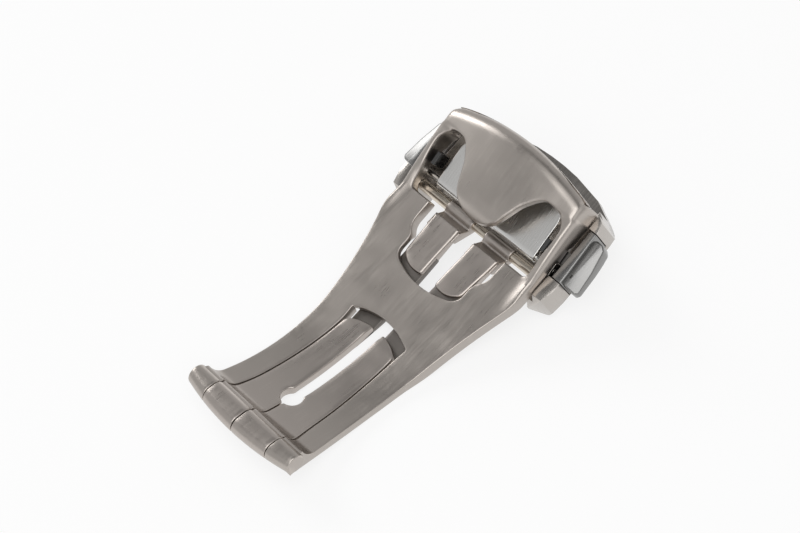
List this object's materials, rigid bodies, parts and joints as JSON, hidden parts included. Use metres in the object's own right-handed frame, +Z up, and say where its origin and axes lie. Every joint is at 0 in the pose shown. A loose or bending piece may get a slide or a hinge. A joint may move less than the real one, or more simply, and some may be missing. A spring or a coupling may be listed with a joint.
{
  "type": "deployant clasp",
  "caption": "Folding deployant clasp for a watch strap, closed, with sprung side push buttons, curved hinged blades, a strap flap and a spring bar.",
  "frame": {"origin": "under the middle of the box, on the plane that the closed clasp rests on", "axes": "+Y from the folding hinge to the cover's far end, +X across the strap, +Z up, away from the cover's outer face"},
  "size_m": [0.0264, 0.0452, 0.0126],
  "materials": {
    "cover": "satin",
    "blade": "satin",
    "inner_blade": "satin",
    "axle": "polished",
    "flap": "brushed along the strap",
    "button": "polished",
    "latch": "satin",
    "spring": "drawn wire",
    "spring_bar": "satin",
    "pin": "ground"
  },
  "bodies": {
    "cover_body": {"cover": "cover", "head_axle": "axle", "axle_spacers": "axle", "flap_pin": "pin", "button_pins": "pin", "button_spring_left": "spring", "button_spring_right": "spring"},
    "middle_body": {"middle_blade": "inner_blade"},
    "wrist_body": {"wrist_blade": "blade", "mid_hinge_pin": "pin", "spring_bar_tube": "spring_bar", "spring_bar_spring": "spring"},
    "flap_body": {"strap_flap": "flap", "strap_post": "pin"},
    "button_left_body": {"push_button_left": "button", "latch_hook_left": "latch"},
    "button_right_body": {"push_button_right": "button", "latch_hook_right": "latch"},
    "tip_left_body": {"spring_bar_tip_left": "spring_bar"},
    "tip_right_body": {"spring_bar_tip_right": "spring_bar"}
  },
  "joints": [
    {"name": "head_hinge", "type": "hinge", "parent": "cover_body", "child": "middle_body", "pos_m": [0, 0.01142, 0.00395], "axis": [-1, 0, 0], "range_deg": [0, 85]},
    {"name": "folding_hinge", "type": "hinge", "parent": "middle_body", "child": "wrist_body", "pos_m": [0, -0.02061, 0.00387], "axis": [1, 0, 0], "range_deg": [0, 170]},
    {"name": "flap_hinge", "type": "hinge", "parent": "cover_body", "child": "flap_body", "pos_m": [0, 0.01247, 0.00512], "axis": [1, 0, 0], "range_deg": [0, 15]},
    {"name": "button_left_slide", "type": "slide", "parent": "cover_body", "child": "button_left_body", "axis": [1, 0, 0], "range_m": [0, 0.0004], "stiffness_N_per_m": 1000, "springref_m": -0.0005},
    {"name": "button_right_slide", "type": "slide", "parent": "cover_body", "child": "button_right_body", "axis": [-1, 0, 0], "range_m": [0, 0.0004], "stiffness_N_per_m": 1000, "springref_m": -0.0005},
    {"name": "bar_tip_left_slide", "type": "slide", "parent": "wrist_body", "child": "tip_left_body", "axis": [1, 0, 0], "range_m": [0, 0.0011], "stiffness_N_per_m": 600, "springref_m": -0.001},
    {"name": "bar_tip_right_slide", "type": "slide", "parent": "wrist_body", "child": "tip_right_body", "axis": [-1, 0, 0], "range_m": [0, 0.0011], "stiffness_N_per_m": 600, "springref_m": -0.001}
  ],
  "couplings": [
    {"joint": "head_hinge", "follows": "folding_hinge", "ratio": 0.5}
  ]
}
